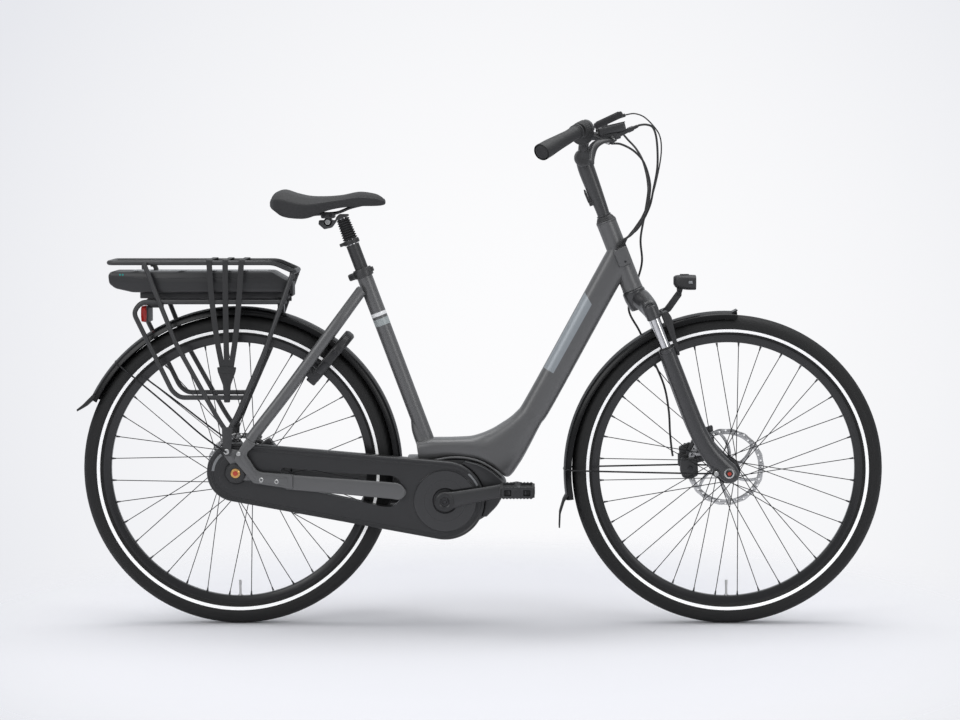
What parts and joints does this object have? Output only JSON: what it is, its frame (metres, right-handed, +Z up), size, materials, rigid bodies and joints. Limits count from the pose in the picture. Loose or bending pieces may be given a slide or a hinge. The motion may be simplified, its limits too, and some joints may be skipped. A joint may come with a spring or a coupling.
{
  "type": "city bike",
  "caption": "Low-step city bike with enclosed chain, disc brakes, swept handlebar, sprung fork and seat mast, carrier with sliding battery, and motor at the cranks.",
  "frame": {"origin": "middle of the bounding box at the ground under the tyres", "axes": "+X forward, +Y to the rider's left, +Z up; the chain side is at -Y"},
  "size_m": [1.8548, 0.61, 1.1823],
  "materials": {
    "frame_paint": "satin dark anthracite metallic paint",
    "casting_paint": "satin dark grey paint on castings",
    "black_plastic": "fine-grained black plastic",
    "gloss_black": "glossy black coating",
    "black_metal": "black anodised, satin",
    "tyre_rubber": "matt black rubber with a white reflecting stripe",
    "soft_rubber": "matt black soft rubber",
    "steel": "light grey steel",
    "saddle_skin": "black grained synthetic skin",
    "lamp_red": "clear red lens"
  },
  "bodies": {
    "frame": {"front_frame": "frame_paint", "rear_frame": "frame_paint", "drive_unit": "black_plastic", "drive_unit_cover": "black_plastic", "chain_case_outer": "black_plastic", "chain_case_inner": "black_plastic", "chain": "steel", "rear_fender": "black_plastic", "carrier": "black_metal", "battery_dock": "black_plastic", "luggage_straps": "soft_rubber", "rear_light": "lamp_red", "ring_lock": "black_plastic", "seat_collar": "black_metal", "rear_caliper": "black_metal", "rear_axle": "steel", "rear_brake_hose": "black_plastic", "front_brake_hose": "black_plastic", "shift_cable": "black_plastic", "display_cable": "black_plastic"},
    "rear_wheel": {"rear_tyre": "tyre_rubber", "rear_rim": "gloss_black", "rear_hub_and_spokes": "gloss_black", "rear_rotor": "steel"},
    "sprocket": {"rear_sprocket": "steel"},
    "crank": {"chainring": "steel", "crank_right": "black_metal", "crank_left": "black_metal"},
    "pedal_right_side": {"pedal_right": "black_plastic"},
    "pedal_left_side": {"pedal_left": "black_plastic"},
    "fork_upper": {"fork_crown": "frame_paint"},
    "fork_lower": {"fork_leg_right": "gloss_black", "fork_leg_left": "gloss_black", "fork_bridge": "black_plastic", "front_fender": "black_plastic", "front_caliper": "black_metal", "front_axle": "steel"},
    "lamp": {"headlamp": "black_plastic"},
    "front_wheel": {"front_tyre": "tyre_rubber", "front_rim": "gloss_black", "front_hub_and_spokes": "gloss_black", "front_rotor": "steel"},
    "stem_body": {"stem": "black_metal"},
    "stem_clamp_lever": {"stem_lever": "black_plastic"},
    "bar": {"handlebar": "black_metal", "grip_right": "soft_rubber", "grip_left": "soft_rubber", "brake_body_right": "black_metal", "brake_body_left": "black_metal", "display": "black_plastic"},
    "shifter": {"twist_shifter": "soft_rubber"},
    "lever_right": {"brake_lever_right": "black_metal"},
    "lever_left": {"brake_lever_left": "black_metal"},
    "post": {"seatpost": "black_metal"},
    "mast": {"suspension_mast": "black_metal", "gaiter": "soft_rubber"},
    "seat": {"saddle_rails": "steel", "saddle": "saddle_skin"},
    "battery_pack": {"battery": "black_plastic"},
    "stand": {"kickstand_leg": "black_metal"}
  },
  "joints": [
    {"name": "rear_wheel_spin", "type": "hinge", "parent": "frame", "child": "rear_wheel", "pos_m": [-0.5575, 0, 0.358], "axis": [0, 1, 0], "continuous": true},
    {"name": "crank_spin", "type": "hinge", "parent": "frame", "child": "crank", "pos_m": [-0.0798, 0, 0.2932], "axis": [0, 1, 0], "continuous": true},
    {"name": "sprocket_spin", "type": "hinge", "parent": "frame", "child": "sprocket", "pos_m": [-0.5575, 0, 0.358], "axis": [0, 1, 0], "continuous": true},
    {"name": "pedal_right_spin", "type": "hinge", "parent": "crank", "child": "pedal_right_side", "pos_m": [0.08673, 0, 0.32738], "axis": [0, 1, 0], "continuous": true},
    {"name": "pedal_left_spin", "type": "hinge", "parent": "crank", "child": "pedal_left_side", "pos_m": [-0.24633, 0, 0.25902], "axis": [0, 1, 0], "continuous": true},
    {"name": "steering", "type": "hinge", "parent": "frame", "child": "fork_upper", "pos_m": [0.35089, 0, 0.77381], "axis": [-0.3665, 0, 0.9304], "range_deg": [-60, 60], "deforming": ["rear_brake_hose", "front_brake_hose", "shift_cable", "display_cable"]},
    {"name": "fork_travel", "type": "slide", "parent": "fork_upper", "child": "fork_lower", "axis": [-0.3665, 0, 0.9304], "range_m": [0, 0.04], "stiffness_N_per_m": 8000, "springref_m": -0.02},
    {"name": "front_wheel_spin", "type": "hinge", "parent": "fork_lower", "child": "front_wheel", "pos_m": [0.5695, 0, 0.358], "axis": [0, 1, 0], "continuous": true},
    {"name": "lamp_tilt", "type": "hinge", "parent": "fork_lower", "child": "lamp", "pos_m": [0.45744, 0, 0.76527], "axis": [0, 1, 0], "range_deg": [-15, 15]},
    {"name": "stem_height", "type": "slide", "parent": "fork_upper", "child": "stem_body", "axis": [-0.3665, 0, 0.9304], "range_m": [0, 0.06]},
    {"name": "stem_lever_open", "type": "hinge", "parent": "stem_body", "child": "stem_clamp_lever", "pos_m": [0.25378, 0, 0.96986], "axis": [0, -1, 0], "range_deg": [0, 110]},
    {"name": "bar_tilt", "type": "hinge", "parent": "stem_body", "child": "bar", "pos_m": [0.23634, 0, 1.07553], "axis": [0, 1, 0], "range_deg": [-20, 20]},
    {"name": "gear_twist", "type": "hinge", "parent": "bar", "child": "shifter", "pos_m": [0.23134, -0.158, 1.13988], "axis": [-0.2563, -0.9613, -0.1009], "range_deg": [0, 150]},
    {"name": "brake_lever_right_pull", "type": "hinge", "parent": "bar", "child": "lever_right", "pos_m": [0.30034, -0.1375, 1.11433], "axis": [-0.566, 0.5491, -0.6149], "range_deg": [0, 22], "stiffness_Nm_per_rad": 1.5, "springref_deg": -11.46},
    {"name": "brake_lever_left_pull", "type": "hinge", "parent": "bar", "child": "lever_left", "pos_m": [0.30034, 0.1375, 1.11433], "axis": [0.566, 0.5491, 0.6149], "range_deg": [0, 22], "stiffness_Nm_per_rad": 1.5, "springref_deg": -11.46},
    {"name": "seatpost_height", "type": "slide", "parent": "frame", "child": "post", "axis": [-0.3502, 0, 0.9367], "range_m": [-0.05, 0.1]},
    {"name": "saddle_suspension", "type": "slide", "parent": "post", "child": "mast", "axis": [0.3502, 0, -0.9367], "range_m": [0, 0.04], "stiffness_N_per_m": 10000, "springref_m": -0.02, "deforming": ["gaiter"]},
    {"name": "saddle_tilt", "type": "hinge", "parent": "mast", "child": "seat", "pos_m": [-0.348, 0, 0.9291], "axis": [0, 1, 0], "range_deg": [-12, 12]},
    {"name": "battery_slide", "type": "slide", "parent": "frame", "child": "battery_pack", "axis": [-1, 0, 0], "range_m": [0, 0.42]},
    {"name": "kickstand_fold", "type": "hinge", "parent": "frame", "child": "stand", "pos_m": [-0.1785, 0.048, 0.27], "axis": [0.1402, -0.9815, -0.1302], "range_deg": [0, 95]}
  ],
  "couplings": [
    {"joint": "sprocket_spin", "follows": "crank_spin", "ratio": 2}
  ]
}
